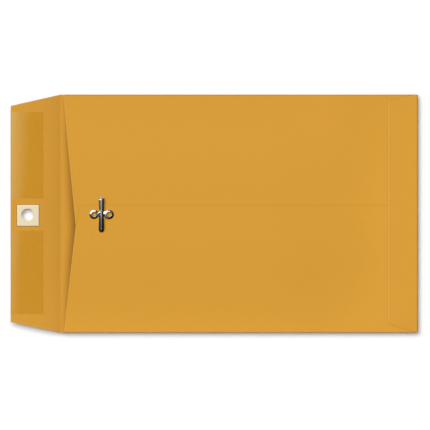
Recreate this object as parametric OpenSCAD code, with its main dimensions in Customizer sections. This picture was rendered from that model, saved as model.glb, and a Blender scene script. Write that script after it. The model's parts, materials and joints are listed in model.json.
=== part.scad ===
// Clasp envelope, open-end style, lying on its back with the closing flap folded open
//
// Frame: origin at the middle of the pouch's nominal rectangle, on the back face, +Z up.
// +X runs from the mouth to the bottom fold and +Y from the lower to the upper side fold.
// The blank is one die-cut sheet. It is drawn here as the areas between its folds, because the
// folds are where it turns, and each glue film, the patch, the gum and the clasp are added to it.

/* [Pouch] */
// Length from the mouth corners to the bottom fold
pouch_l = 228.6; // [216:0.1:240]
// Width over the two side folds
pouch_w = 152.4; // [144:0.1:160]
// Thickness of the kraft paper
paper_t = 0.15; // [0.12:0.01:0.18]
// Thickness of a glue film
glue_t = 0.05; // [0.03:0.01:0.07]
// Gap inside the upper side fold
side_gap = 0.5; // [0.3:0.05:0.6]
// Rise of the front's crown above the side folds, where the mouth gapes
front_rise = 4.6; // [4.4:0.05:4.7]
// Half-width of the level crown that carries the clasp
crown_half = 12; // [11:0.5:15]
// X at which the front starts to fall towards the bottom
fall_start = 20; // [0:1:40]

/* [Front panels] */
// Depth of the throat's V behind the mouth corners
throat_depth = 9.6; // [8.5:0.1:10]
// Y of the throat's V
throat_y = -8; // [-9.5:0.1:-7]
// Lean of the lower panel's throat edge above the V, in X per Y
throat_lean = 0.165; // [0.1:0.005:0.25]
// Depth at which the throat edges meet the side folds
throat_side_depth = 2; // [2:0.1:3]
// Y of the lower panel's free edge, the seam that shows
seam_y = 5.5; // [4:0.1:8]
// Width of the strip where the lower panel lies on the upper one
seam_overlap = 15.3; // [14:0.1:17]
// Bare margin beside the seam's glue film
seam_margin = 1; // [0.5:0.1:2]

/* [Bottom flap] */
// Depth of the bottom flap, inner edge to bottom fold
bottom_flap_l = 19.2; // [16:0.1:24]
// Inset of its inner corner from the upper side fold
bottom_inset_upper = 4; // [2:0.1:5]
// Inset of its inner corner from the lower side fold
bottom_inset_lower = 5.9; // [3:0.1:7]
// Inset of its outer corners, at the bottom fold
bottom_inset_outer = 0.7; // [0.6:0.1:1.5]
// Corner radius of the bottom flap
bottom_corner_r = 0.8; // [0.5:0.1:3]
// Bare margin round the bottom flap's glue film
bottom_glue_margin = 2; // [1:0.1:4]

/* [Closing flap] */
// Length of the flap beyond the mouth corners
flap_l = 32.1; // [30:0.1:33]
// Inset of the flap's free corner at the upper side
flap_inset_upper = 7.3; // [5:0.1:10]
// Inset of the flap's free corner at the lower side
flap_inset_lower = 6.8; // [5:0.1:10]
// Corner radius of the flap
flap_corner_r = 0.5; // [0.5:0.1:3]
// Distance of the flap's score line behind the mouth corners
score_inset = 1.6; // [1.5:0.1:1.7]
// Width of the pressed score line
score_w = 0.8; // [0.6:0.05:0.8]

/* [Gum and patch] */
// Thickness of the dried gum
gum_t = 0.05; // [0.03:0.01:0.08]
// Width of a gum strip, from the flap's free edge
gum_w = 20.7; // [18:0.1:22]
// Bare margin between the gum and the free edge
gum_margin = 0.2; // [0.1:0.1:1]
// Y of the upper gum strip's inner end
gum_upper_inner = 9.8; // [8:0.1:12]
// Y of the upper gum strip's outer end
gum_upper_outer = 65; // [60:0.1:66]
// Y of the lower gum strip's inner end
gum_lower_inner = -10.9; // [-12:0.1:-9]
// Y of the lower gum strip's outer end
gum_lower_outer = -64.3; // [-66:0.1:-60]
// Thickness of the hole's patch
patch_t = 0.18; // [0.12:0.01:0.25]
// Length of the patch along X
patch_l = 13.7; // [12:0.1:16]
// Width of the patch along Y
patch_w = 13.3; // [12:0.1:16]
// Middle of the patch from the flap's free edge
patch_from_edge = 11.05; // [10:0.05:12]
// Y of the patch's middle
patch_y = -1.15; // [-2:0.05:0]
// Diameter of the hole, a 5/16 in punch
hole_d = 7.9; // [7.5:0.1:8.2]
// Middle of the hole from the flap's free edge
hole_from_edge = 10.8; // [10.4:0.05:11.2]
// Y of the hole's middle
hole_y = -0.75; // [-1:0.05:-0.5]

/* [Clasp] */
// Middle of the clasp from the mouth corners
clasp_from_mouth = 26; // [25:0.05:26.5]
// Y of the clasp's middle
clasp_y = -0.55; // [-1:0.05:-0.5]
// Middle of a ring ear from the clasp's middle
ring_x = 4.7; // [4.6:0.1:5.2]
// Mean radius of a ring ear
ring_r = 2.2; // [2:0.05:2.2]
// Half-width and height of a ring ear's half-round section
ring_section_r = 0.8; // [0.6:0.05:0.8]
// Wall of the burr that goes through the paper
burr_wall = 0.25; // [0.2:0.05:0.3]
// Outer radius of the burr's clinched rim, inside the pouch
clinch_r = 2.6; // [2.2:0.05:3]
// Thickness of the clinched rim
clinch_t = 0.2; // [0.15:0.05:0.25]
// Distance of a prong's tip from the clasp's middle
prong_reach = 11.3; // [9:0.1:12]
// Half-width of a prong at its root
prong_root_w = 1.4; // [1.2:0.05:1.5]
// Half-width of a prong at its round tip
prong_tip_w = 1.72; // [1.5:0.02:1.8]
// Thickness of the clasp's sheet metal
clasp_t = 0.3; // [0.25:0.05:0.35]
// Outer radius of a prong's arched section
arch_r = 2.4; // [2.2:0.1:3]

/* [Hidden] */
$fn = 64;

kraft = [0.85, 0.61, 0.23];
gum_amber = [0.79, 0.56, 0.18];
patch_cream = [0.91, 0.85, 0.71];
paste = [0.9, 0.86, 0.74];
nickel = [0.55, 0.54, 0.5];

// Overlap of cutting shapes, so that a cut never ends on the face that it cuts
cut = 0.1;

// Heights of the layers: the upper panel, the lower panel on it, and the bottom flap on both
upper_z = paper_t + side_gap;
lower_z = upper_z + paper_t + glue_t;
bottom_flap_z = lower_z + paper_t + glue_t;
crown_z = upper_z + front_rise;
clasp_z = crown_z + 2 * paper_t + glue_t;

// Outer radii of the folds, each half as high as the layers that it joins
upper_fold_r = (upper_z + paper_t) / 2;
lower_fold_r = (lower_z + paper_t) / 2;
bottom_fold_r = (bottom_flap_z + paper_t) / 2;
upper_fold_y = pouch_w / 2 - upper_fold_r;
lower_fold_y = -pouch_w / 2 + lower_fold_r;
bottom_fold_x = pouch_l / 2 - bottom_fold_r;

// Stations along the pouch
mouth_x = -pouch_l / 2;
free_edge_x = mouth_x - flap_l;
score_x = mouth_x + score_inset;
panel_end_x = bottom_fold_x - 0.5;
flap_edge_x = pouch_l / 2 - bottom_flap_l;
clasp_x = mouth_x + clasp_from_mouth;
fall_steps = 6;
stations = concat(
    [clasp_x - 10],
    [for (i = [0:fall_steps]) fall_start + (flap_edge_x - fall_start) * i / fall_steps],
    [panel_end_x]
);

// Rows across the pouch: the crown, then even steps down to the side fold
side_steps = 5;
upper_rows = concat(
    [seam_y - seam_overlap],
    [for (i = [0:side_steps]) crown_half + (upper_fold_y - crown_half) * i / side_steps]
);
lower_rows = concat(
    [for (i = [0:side_steps]) lower_fold_y - (lower_fold_y + crown_half) * i / side_steps],
    [throat_y, seam_y]
);
seam_glue_rows = [seam_y - seam_overlap + seam_margin, seam_y - seam_margin];

// Holes that the clasp's burrs pass through
burr_r = ring_r - ring_section_r + burr_wall;

// Prong roots: round beads that turn in troughs of the clasp's hub
prong_axis_y = 0.75;
prong_axis_z = 0.9;
bead_r = 0.4;
trough_r = 0.45;
hub_half = [1.6, 1.3];
neck_half_w = 0.95;
neck_t = 0.4;
// Lowest level of a prong's arched sides, below its axis
prong_sag = 0.55;

// Share of the front's rise across the pouch: 1 on the crown, a quarter cosine down to the side folds
function bow(y) =
    let (side = min(upper_fold_y, -lower_fold_y))
    abs(y) <= crown_half ? 1 : cos(90 * min(1, (abs(y) - crown_half) / (side - crown_half)));

// Share of the front's rise along the pouch: 1 at the mouth, half a cosine down to the bottom flap
function fall(x) =
    let (part = max(0, min(1, (x - fall_start) / (flap_edge_x - fall_start))))
    (1 + cos(180 * part)) / 2;

// Underside of the upper panel
function front_z(x, y) = upper_z + front_rise * bow(y) * fall(x);

// X of the throat edges: straight lines from the side folds to the V. The upper panel's line goes
// on under the lower panel, whose own edge leans back more from the V to the seam
throat_side_x = mouth_x + throat_side_depth;
throat_fall = throat_depth - throat_side_depth;
upper_throat = function(y) throat_side_x + throat_fall * (upper_fold_y - y) / (upper_fold_y - throat_y);
lower_throat = function(y)
    y > throat_y
        ? mouth_x + throat_depth + throat_lean * (y - throat_y)
        : throat_side_x + throat_fall * (y - lower_fold_y) / (throat_y - lower_fold_y);
seam_glue_start = function(y) clasp_x - 13;

// Points of an outline whose corners are rounded: points go round the outline in order, radii give
// each corner's radius, and a corner's arc is centred on the line that halves the corner
function unit(v) = v / norm(v);
function corner_arc(before, corner, after, r, steps = 8) =
    let (
        to_before = unit(before - corner),
        to_after = unit(after - corner),
        half = acos(to_before * to_after) / 2,
        middle = corner + unit(to_before + to_after) * r / sin(half),
        first = corner + to_before * r / tan(half) - middle,
        last = corner + to_after * r / tan(half) - middle
    )
    [for (i = [0:steps]) middle + r * unit(first * (steps - i) + last * i)];
function rounded_outline(points, radii) =
    let (count = len(points))
    [
        for (i = [0:count - 1])
            each radii[i] == 0
                ? [points[i]]
                : corner_arc(points[(i + count - 1) % count], points[i], points[(i + 1) % count], radii[i])
    ];

// Flat sheet of an outline in X and Y, from a height up
module flat_sheet(outline, z, thickness) {
    translate([0, 0, z])
        linear_extrude(thickness)
            polygon(outline);
}

// Corners of an upright rectangle from its lowest to its highest corner
function rectangle(low, high) = [low, [high[0], low[1]], high, [low[0], high[1]]];

// Half of a paper tube, folded round a line: the fold's outer side faces +X of the drawing
module fold_section(r) {
    intersection() {
        difference() {
            circle(r);
            circle(r - paper_t);
        }
        translate([0, -r])
            square([r, 2 * r]);
    }
}

// Side fold along X, from the mouth to the bottom; side is 1 for the upper and -1 for the lower one
module side_fold(y, r, side) {
    translate([score_x + score_w / 2, y, r])
        rotate([90, 0, 90])
            linear_extrude(panel_end_x - score_x - score_w / 2)
                rotate(side > 0 ? 0 : 180)
                    fold_section(r);
}

// Closed sheet over the bowed front: each row of points starts at a throat edge and then follows
// the stations, lift is the height of the sheet's underside over the upper panel's underside
module bowed_sheet(rows, throat, lift, thickness) {
    columns = len(stations) + 1;
    count = len(rows);
    grid = [for (y = rows) for (x = concat([throat(y)], stations)) [x, y, front_z(x, y) + lift]];
    layer = len(grid);
    points = concat(grid, [for (p = grid) p + [0, 0, thickness]]);
    cells = [for (j = [0:count - 2]) for (i = [0:columns - 2]) j * columns + i];
    low_row = [for (i = [0:columns - 2]) i];
    high_row = [for (i = [0:columns - 2]) (count - 1) * columns + i];
    first_column = [for (j = [0:count - 2]) j * columns];
    last_column = [for (j = [0:count - 2]) j * columns + columns - 1];
    faces = concat(
        [for (a = cells) each [[a, a + 1, a + columns + 1], [a, a + columns + 1, a + columns]]],
        [
            for (c = cells)
                let (a = c + layer)
                each [[a, a + columns, a + columns + 1], [a, a + columns + 1, a + 1]]
        ],
        [for (a = low_row) each [[a, a + layer, a + layer + 1], [a, a + layer + 1, a + 1]]],
        [for (a = high_row) each [[a, a + layer + 1, a + layer], [a, a + 1, a + layer + 1]]],
        [
            for (a = first_column)
                let (b = a + columns)
                each [[a, b, b + layer], [a, b + layer, a + layer]]
        ],
        [
            for (a = last_column)
                let (b = a + columns)
                each [[a, b + layer, b], [a, a + layer, b + layer]]
        ]
    );
    polyhedron(points, faces);
}

// The two round holes that the clasp's burrs fill
module burr_holes() {
    for (side = [-1, 1])
        translate([clasp_x + side * ring_x, clasp_y, crown_z - cut])
            cylinder(h = clasp_z - crown_z + 2 * cut, r = burr_r);
}

// Back of the pouch, from the score line to the bottom fold
module back_panel() {
    color(kraft)
        flat_sheet(
            rectangle([score_x + score_w / 2, lower_fold_y], [bottom_fold_x, upper_fold_y]),
            0,
            paper_t
        );
}

module upper_side_fold() {
    color(kraft)
        side_fold(upper_fold_y, upper_fold_r, 1);
}

module lower_side_fold() {
    color(kraft)
        side_fold(lower_fold_y, lower_fold_r, -1);
}

// Front panel that folds over from the upper side and lies underneath at the seam
module upper_panel() {
    color(kraft)
        difference() {
            bowed_sheet(upper_rows, upper_throat, 0, paper_t);
            burr_holes();
        }
}

// Front panel that folds over from the lower side and lies on top at the seam
module lower_panel() {
    color(kraft)
        difference() {
            bowed_sheet(lower_rows, lower_throat, paper_t + glue_t, paper_t);
            burr_holes();
        }
}

// Glue film between the two front panels
module seam_glue() {
    color(paste)
        difference() {
            bowed_sheet(seam_glue_rows, seam_glue_start, paper_t, glue_t);
            burr_holes();
        }
}

// Fold at the bottom end, from the back round to the bottom flap
module bottom_fold() {
    color(kraft)
        translate([bottom_fold_x, pouch_w / 2 - bottom_inset_outer, bottom_fold_r])
            rotate([90, 0, 0])
                linear_extrude(pouch_w - 2 * bottom_inset_outer)
                    fold_section(bottom_fold_r);
}

// Flap that closes the bottom end, glued over both front panels
module bottom_flap() {
    outer_y = pouch_w / 2 - bottom_inset_outer;
    corners = [
        [bottom_fold_x, -outer_y],
        [bottom_fold_x, outer_y],
        [flap_edge_x, pouch_w / 2 - bottom_inset_upper],
        [flap_edge_x, -pouch_w / 2 + bottom_inset_lower]
    ];
    color(kraft)
        flat_sheet(
            rounded_outline(corners, [0, 0, bottom_corner_r, bottom_corner_r]),
            bottom_flap_z,
            paper_t
        );
}

// Glue under the bottom flap: it steps down where only the upper panel lies under it
module bottom_flap_glue() {
    low_y = -pouch_w / 2 + bottom_inset_lower + bottom_glue_margin;
    high_y = pouch_w / 2 - bottom_inset_upper - bottom_glue_margin;
    start_x = flap_edge_x + bottom_glue_margin;
    section = [
        [low_y, lower_z + paper_t],
        [seam_y, lower_z + paper_t],
        [seam_y, upper_z + paper_t],
        [high_y, upper_z + paper_t],
        [high_y, bottom_flap_z],
        [low_y, bottom_flap_z]
    ];
    color(paste)
        translate([start_x, 0, 0])
            rotate([90, 0, 90])
                linear_extrude(panel_end_x - bottom_glue_margin - start_x)
                    polygon(section);
}

// Pressed line that the closing flap turns on
module flap_score() {
    half = score_w / 2;
    color(kraft)
        flat_sheet(
            rectangle([score_x - half, lower_fold_y], [score_x + half, upper_fold_y]),
            0,
            paper_t
        );
}

// The punched hole, through the flap, the patch and its glue
module flap_hole() {
    translate([free_edge_x + hole_from_edge, hole_y, -cut])
        cylinder(h = paper_t + glue_t + patch_t + 2 * cut, d = hole_d);
}

// Tapered flap that folds over the mouth
module closing_flap() {
    root_x = score_x - score_w / 2;
    corners = [
        [root_x, -pouch_w / 2],
        [root_x, pouch_w / 2],
        [mouth_x, pouch_w / 2],
        [free_edge_x, pouch_w / 2 - flap_inset_upper],
        [free_edge_x, -pouch_w / 2 + flap_inset_lower],
        [mouth_x, -pouch_w / 2]
    ];
    color(kraft)
        difference() {
            flat_sheet(
                rounded_outline(corners, [0, 0, 0, flap_corner_r, flap_corner_r, 0]),
                0,
                paper_t
            );
            flap_hole();
        }
}

// Strip of dried gum on the flap's inner side
module gum_strip(low_y, high_y) {
    start_x = free_edge_x + gum_margin;
    color(gum_amber)
        flat_sheet(rectangle([start_x, low_y], [start_x + gum_w, high_y]), paper_t, gum_t);
}

module upper_gum_strip() {
    gum_strip(gum_upper_inner, gum_upper_outer);
}

module lower_gum_strip() {
    gum_strip(gum_lower_outer, gum_lower_inner);
}

// Corners of the patch, drawn in by a margin
function patch_outline(margin) =
    let (
        mid = [free_edge_x + patch_from_edge, patch_y],
        half = [patch_l / 2 - margin, patch_w / 2 - margin]
    )
    rectangle(mid - half, mid + half);

// Glue film under the patch
module hole_patch_glue() {
    glue_margin = 0.3;
    color(paste)
        difference() {
            flat_sheet(patch_outline(glue_margin), paper_t, glue_t);
            flap_hole();
        }
}

// Square patch that strengthens the hole
module hole_patch() {
    color(patch_cream)
        difference() {
            flat_sheet(patch_outline(0), paper_t + glue_t, patch_t);
            flap_hole();
        }
}

// Ring ear with its burr through the paper and the burr's clinched rim, round the ring's own axis
module ring_ear() {
    inner_r = ring_r - ring_section_r;
    stack = clasp_z - crown_z;
    rotate_extrude()
        union() {
            intersection() {
                translate([ring_r, 0])
                    circle(ring_section_r);
                translate([inner_r, 0])
                    square([2 * ring_section_r, ring_section_r]);
            }
            translate([inner_r, -stack - clinch_t])
                square([burr_wall, stack + clinch_t]);
            translate([inner_r, -stack - clinch_t])
                square([clinch_r - inner_r, clinch_t]);
        }
}

// Fixed part of the clasp: two ring ears, the neck between them, and the hub with its two troughs
module clasp_base() {
    neck_half_l = ring_x - ring_r;
    color(nickel)
        translate([clasp_x, clasp_y, clasp_z]) {
            difference() {
                union() {
                    translate([-neck_half_l, -neck_half_w, 0])
                        cube([2 * neck_half_l, 2 * neck_half_w, neck_t]);
                    translate([-hub_half[0], -hub_half[1], 0])
                        cube([2 * hub_half[0], 2 * hub_half[1], prong_axis_z]);
                }
                for (side = [-1, 1])
                    translate([-hub_half[0] - cut, side * prong_axis_y, prong_axis_z])
                        rotate([0, 90, 0])
                            cylinder(h = 2 * (hub_half[0] + cut), r = trough_r);
            }
            for (side = [-1, 1])
                translate([side * ring_x, 0, 0])
                    ring_ear();
        }
}

// Prong that lies along +Y from its axis: a bead on the axis, a level tongue over the hub's edge,
// and an arched blade that widens to a round tip
module prong() {
    tip_y = prong_reach - prong_axis_y - prong_tip_w;
    blade_y = hub_half[1] - prong_axis_y + 0.1;
    tongue_low = 0.08;
    top = bead_r;
    bead_half = hub_half[0] - 0.3;
    blade_outline = [
        [-prong_root_w, blade_y],
        [prong_root_w, blade_y],
        [prong_tip_w, tip_y],
        [-prong_tip_w, tip_y]
    ];
    intersection() {
        translate([0, 0, -prong_sag])
            linear_extrude(prong_sag + top)
                union() {
                    polygon(blade_outline);
                    translate([0, tip_y])
                        circle(prong_tip_w);
                }
        translate([0, 0, top - arch_r])
            rotate([-90, 0, 0])
                difference() {
                    cylinder(h = prong_reach, r = arch_r);
                    translate([0, 0, -cut])
                        cylinder(h = prong_reach + 2 * cut, r = arch_r - clasp_t);
                }
    }
    translate([-bead_half, 0, tongue_low])
        cube([2 * bead_half, blade_y + clasp_t, top - clasp_t / 2 - tongue_low]);
    translate([-bead_half, 0, 0])
        rotate([0, 90, 0])
            cylinder(h = 2 * bead_half, r = bead_r);
}

module upper_prong() {
    color(nickel)
        translate([clasp_x, clasp_y + prong_axis_y, clasp_z + prong_axis_z])
            prong();
}

module lower_prong() {
    color(nickel)
        translate([clasp_x, clasp_y - prong_axis_y, clasp_z + prong_axis_z])
            rotate([0, 0, 180])
                prong();
}

back_panel();
upper_side_fold();
lower_side_fold();
upper_panel();
lower_panel();
seam_glue();
bottom_fold();
bottom_flap();
bottom_flap_glue();
flap_score();
closing_flap();
upper_gum_strip();
lower_gum_strip();
hole_patch_glue();
hole_patch();
clasp_base();
upper_prong();
lower_prong();
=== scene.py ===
"""Clasp envelope: paper sheets, gum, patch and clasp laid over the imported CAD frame.

A table, a soft light and a camera straight above stand round it.
"""

import json
import math

import bpy
import numpy as np
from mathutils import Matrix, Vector


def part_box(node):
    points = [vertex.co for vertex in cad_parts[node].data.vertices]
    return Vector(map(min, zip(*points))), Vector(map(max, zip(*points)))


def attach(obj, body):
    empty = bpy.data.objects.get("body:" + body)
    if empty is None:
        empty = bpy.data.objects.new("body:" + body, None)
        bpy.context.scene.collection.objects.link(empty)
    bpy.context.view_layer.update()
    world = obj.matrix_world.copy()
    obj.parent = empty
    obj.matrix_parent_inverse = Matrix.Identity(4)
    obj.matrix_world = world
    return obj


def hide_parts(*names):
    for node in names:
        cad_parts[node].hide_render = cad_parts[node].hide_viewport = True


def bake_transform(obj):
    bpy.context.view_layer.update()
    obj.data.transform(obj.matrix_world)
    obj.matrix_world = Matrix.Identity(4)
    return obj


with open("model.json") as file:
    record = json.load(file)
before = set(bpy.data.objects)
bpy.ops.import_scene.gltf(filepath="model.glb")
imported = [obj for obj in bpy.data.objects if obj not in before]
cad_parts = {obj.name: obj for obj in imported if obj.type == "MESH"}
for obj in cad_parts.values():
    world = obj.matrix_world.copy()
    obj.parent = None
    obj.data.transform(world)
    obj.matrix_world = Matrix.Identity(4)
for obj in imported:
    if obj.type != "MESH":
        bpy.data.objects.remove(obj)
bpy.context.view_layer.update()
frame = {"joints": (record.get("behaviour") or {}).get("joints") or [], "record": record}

MM = 0.001
X, Y, Z = 0, 1, 2


def node_box(node):
    """Lowest and highest corner of a CAD node, as arrays in metres."""
    low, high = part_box(node)
    return np.array(low), np.array(high)


# Sizes of the blank, read from the frame
BACK_LOW, BACK_HIGH = node_box("back_panel")
UPPER_LOW, UPPER_HIGH = node_box("upper_panel")
LOWER_HIGH = node_box("lower_panel")[1]
FLAP_LOW, FLAP_HIGH = node_box("closing_flap")
END_LOW = node_box("bottom_flap")[0]
PATCH_LOW, PATCH_HIGH = node_box("hole_patch")
CLASP_LOW, CLASP_HIGH = node_box("clasp_base")
PAPER = BACK_HIGH[Z] - BACK_LOW[Z]
GLUE = PATCH_LOW[Z] - PAPER
UPPER_FOLD_R = node_box("upper_side_fold")[1][Z] / 2
LOWER_FOLD_R = node_box("lower_side_fold")[1][Z] / 2
BOTTOM_FOLD_R = node_box("bottom_fold")[1][Z] / 2
UPPER_FOLD_Y = BACK_HIGH[Y]
LOWER_FOLD_Y = BACK_LOW[Y]
BOTTOM_FOLD_X = BACK_HIGH[X]
MOUTH_X = -node_box("bottom_fold")[1][X]
SCORE_X = node_box("flap_score")[1][X]
SEAM_Y = LOWER_HIGH[Y]
SEAM_UNDER_Y = UPPER_LOW[Y]
PANEL_END_X = UPPER_HIGH[X]
CROWN_TOP = LOWER_HIGH[Z]
SIDE_GAP = UPPER_LOW[Z] - PAPER

MOUNTS = {mount["name"]: mount for mount in frame["record"]["mounts"]}
JOINTS = {joint["name"]: joint for joint in frame["joints"]}
HOLE_X, HOLE_Y = MOUNTS["clasp_hole"]["pos_m"][:2]
HOLE_R = MOUNTS["clasp_hole"]["dims"]["r_mm"] * MM
CLASP_X = (CLASP_LOW[X] + CLASP_HIGH[X]) / 2
CLASP_Y = (CLASP_LOW[Y] + CLASP_HIGH[Y]) / 2

# Cut lines of the blank; the throat's V is given as X and Y
THROAT_V = (-104.7 * MM, -8.0 * MM)
THROAT_LEAN = 0.165
UPPER_THROAT_X = SCORE_X - 0.5 * MM
THROAT_CORNER_R = 2.2 * MM
THROAT_END_X = -98 * MM
FLAP_EDGE_TOP = 68.9 * MM
FLAP_EDGE_BOTTOM = -69.4 * MM
FLAP_CORNER_R = 0.5 * MM
FULL_WIDTH_INSET = 1.4 * MM
# Added to the throat's distance to its cut, which weakens its pale edge of frayed fibres and painted
# highlight
THROAT_FRAY_AND_HIGHLIGHT = 0.25 * MM
END_EDGE_TOP = 72.2 * MM
END_EDGE_BOTTOM = -70.3 * MM
END_CORNER_R = 0.8 * MM
FOLD_INSET = 0.05 * MM

# How far the patch's glue film reaches past the card as a rim of painted shadow or glue stays back, and the
# share of the patch card's thickness that its rims are pressed by
PATCH_SHADOW_RIM = 0.5 * MM
GLUE_STEP_BACK = 0.1 * MM
PASTE_INSET = 2 * MM
PATCH_SOFTNESS = 0.25

# How the grids are spaced, and the angles past which an edge is sharp
FOLD_TURN = np.linspace(-math.pi / 2, math.pi / 2, 15)[:-1]
FOLD_ZONE = 7 * MM
SCORE_ZONE = 6 * MM
END_ZONE = 0.2 * MM
EDGE_SHARE = 0.015
HOLE_SQUARE_HALF = 7.5 * MM
HOLE_SQUARE_CELLS = 12
HOLE_RING_SHARES = np.array([0.25, 0.5, 0.8, 1.0])
CARD_RIM_SHARE = 0.05
LONG_SIDE_POINTS = 90
SHORT_SIDE_POINTS = 12
SHARP_ANGLE = math.radians(40)
CLASP_SHARP_ANGLE = math.radians(50)

# How the paper lies: the rims stand a little off the table and the flap curls up from its score
CROWN_HALF = 12 * MM
BOW_HALF = 75.7 * MM
FALL_START = 20 * MM
UPPER_RIM_LIFT = 0.5 * MM
LOWER_RIM_LIFT = 1.5 * MM
BOTTOM_RIM_LIFT = 1.4 * MM
RIM_REACH = 41 * MM
MOUTH_LIFT = 0.1 * MM
MOUTH_LIFT_START = -60 * MM
CURL_SLOPE = 0.25
CURL_LENGTH = 8 * MM
CURL_DROOP = 0.35 * MM
CURL_SAG = 0.3

# Painted shade, as shares of the paper's own colour, and its reaches: shadow under the throat and beside the
# prongs, shade on the flap and along the folds, contact shadow where plies lie on others, light and shade
# that even out the bowed front, and a dark line along the flap's cut edges
MOUTH_SHADE = 0.44
MOUTH_SHADE_REACH = (78 * MM, 92 * MM)
MOUTH_BAND = 3.5 * MM
MOUTH_BAND_EXTRA = 4 * MM
CREASE_SHADE = 0.025
CREASE_REACH = 6 * MM
FLAP_SHADE = 0.022
FLAP_SHADE_REACH = (6 * MM, 20 * MM)
SHADE_FADE = 1 * MM
FREE_EDGE_SHADE = 0.3
FREE_EDGE_REACH = 0.6 * MM
GUM_EDGE_REACH = 0.8 * MM
# Painted shade along the side folds and the bottom fold, where they turn away
UPPER_FOLD_SHADE = 0.19
LOWER_FOLD_SHADE = 0.04
BOTTOM_FOLD_SHADE = 0.12
# Painted contact shadow along the seam, the slant above the V and the bottom flap's outline
SEAM_SHADE = 0.09
END_SHADE = 0.14
# Painted light and shade that even out the lamps' shading of the bowed front
PAINTED_LIGHT_ACROSS = 0.05
PAINTED_LIGHT_ALONG = 0.045
PAINTED_LIGHT_Y = -40 * MM
PAINTED_LIGHT_HALF = 50 * MM
PAINTED_LIGHT_FULL = 3 * FALL_START
LINE_REACH = 1.0 * MM
FOLD_LINE_REACH = 0.6 * MM
# Painted shadow on the paper beside the prongs
PRONG_SHADOW_SHADE = 0.28
PRONG_SHADOW_REACH = 2.2 * MM
PRONG_TIP_HALF = 1.72 * MM
PRONG_SHADOW_X = CLASP_X + PRONG_TIP_HALF
PRONG_SPAN = node_box("upper_prong")[1][Y] - CLASP_Y


def smooth(start, end, value):
    """Smoothstep: 0 up to start, 1 from end, 3t^2 - 2t^3 between."""
    t = np.clip((value - start) / (end - start), 0, 1)
    return t * t * (3 - 2 * t)


def near(distance, reach):
    """1 up to distance 0, falling smoothly to 0 at reach."""
    return 1 - smooth(0, reach, distance)


def back_face(x, y):
    """Height of the blank's underside over the table.

    Parabolas rise to the side folds and the bottom fold, and where two meet each takes what the other
    leaves. A smoothstep lifts the mouth a little. Past the mouth the flap adds
    slope * length * (1 - exp(-distance / length)), less towards its two sides by the square of Y, and droops
    again by the square of the distance.
    """
    side = np.clip((np.abs(y) - (BOW_HALF - RIM_REACH)) / RIM_REACH, 0, 1) ** 2
    side = side * np.where(y > 0, UPPER_RIM_LIFT, LOWER_RIM_LIFT)
    bottom = np.clip((x - (BOTTOM_FOLD_X - RIM_REACH)) / RIM_REACH, 0, 1) ** 2
    rim = side + bottom * (BOTTOM_RIM_LIFT - side)
    mouth = MOUTH_LIFT * smooth(MOUTH_LIFT_START, MOUTH_X, x)
    past_mouth = np.clip(MOUTH_X - x, 0, None)
    curl = CURL_SLOPE * CURL_LENGTH * (1 - np.exp(-past_mouth / CURL_LENGTH))
    droop = CURL_DROOP * (past_mouth / (MOUTH_X - FLAP_LOW[X])) ** 2
    return rim + mouth + curl * (1 - CURL_SAG * (y / BOW_HALF) ** 2) - droop


def back_top(x, y):
    """Height of the blank's upward side: its underside plus the paper."""
    return back_face(x, y) + PAPER


def front_top(x, y, plies):
    """Outer side of the front, which has one ply (upper panel) or two with glue (lower panel).

    The underside runs from the side gap over the back panel to the crown, by bow * fall: bow is 1 over the
    crown and a quarter cosine to the side folds, fall is a half cosine down to the bottom flap.
    """
    across = np.clip((np.abs(y) - CROWN_HALF) / (BOW_HALF - CROWN_HALF), 0, 1)
    along = np.clip((x - FALL_START) / (END_LOW[X] - FALL_START), 0, 1)
    share = np.cos(across * math.pi / 2) * (1 + np.cos(along * math.pi)) / 2
    crown = CROWN_TOP - 2 * PAPER - GLUE
    under = (1 - share) * (back_top(x, y) + SIDE_GAP) + share * crown
    return under + PAPER + (plies - 1) * (GLUE + PAPER)


def corner_cut(distance, radius):
    """How far a rounded corner steps back at a distance from its edge: r - sqrt(r^2 - (r - d)^2)."""
    inside = np.clip(radius - distance, 0, radius)
    return radius - np.sqrt(radius**2 - inside**2)


def grid_quads(rows, columns, wrap_rows=False, wrap_columns=False):
    """Quads of a grid of points, facing along row direction x column direction.

    A wrapped side joins its start.
    """
    index = np.arange(rows * columns).reshape(rows, columns)
    if wrap_rows:
        index = np.vstack([index, index[:1]])
    if wrap_columns:
        index = np.hstack([index, index[:, :1]])
    return np.stack([index[:-1, :-1], index[1:, :-1], index[1:, 1:], index[:-1, 1:]], axis=-1).reshape(-1, 4)


def steps(*stops):
    """Numbers from stop to stop, each stop but the first given as (value, count of steps)."""
    parts = [np.array([stops[0]])]
    for value, count in stops[1:]:
        parts.append(np.linspace(parts[-1][-1], value, count + 1)[1:])
    return np.concatenate(parts)


def make_piece(name, points, faces, materials, uv=None, edge_mm=None, shade=None):
    """A mesh object at the origin from points (n, 3) and quads.

    Its map of the blank, its distance to the cut edge and its shade are given per point.
    """
    mesh = bpy.data.meshes.new(name)
    mesh.from_pydata(points.tolist(), [], faces.tolist())
    mesh.shade_smooth()
    corner_point = np.empty(len(mesh.loops), np.int32)
    mesh.loops.foreach_get("vertex_index", corner_point)
    if uv is not None:
        layer = mesh.uv_layers.new(name="blank")
        layer.data.foreach_set("uv", uv[corner_point].astype(np.float32).ravel())
    for title, values in (("cut_edge_mm", edge_mm), ("shade", shade)):
        if values is not None:
            numbers = mesh.attributes.new(title, "FLOAT", "POINT")
            numbers.data.foreach_set("value", values.astype(np.float32))
    for material in materials:
        mesh.materials.append(material)
    piece = bpy.data.objects.new(name, mesh)
    bpy.context.scene.collection.objects.link(piece)
    return piece


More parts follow.
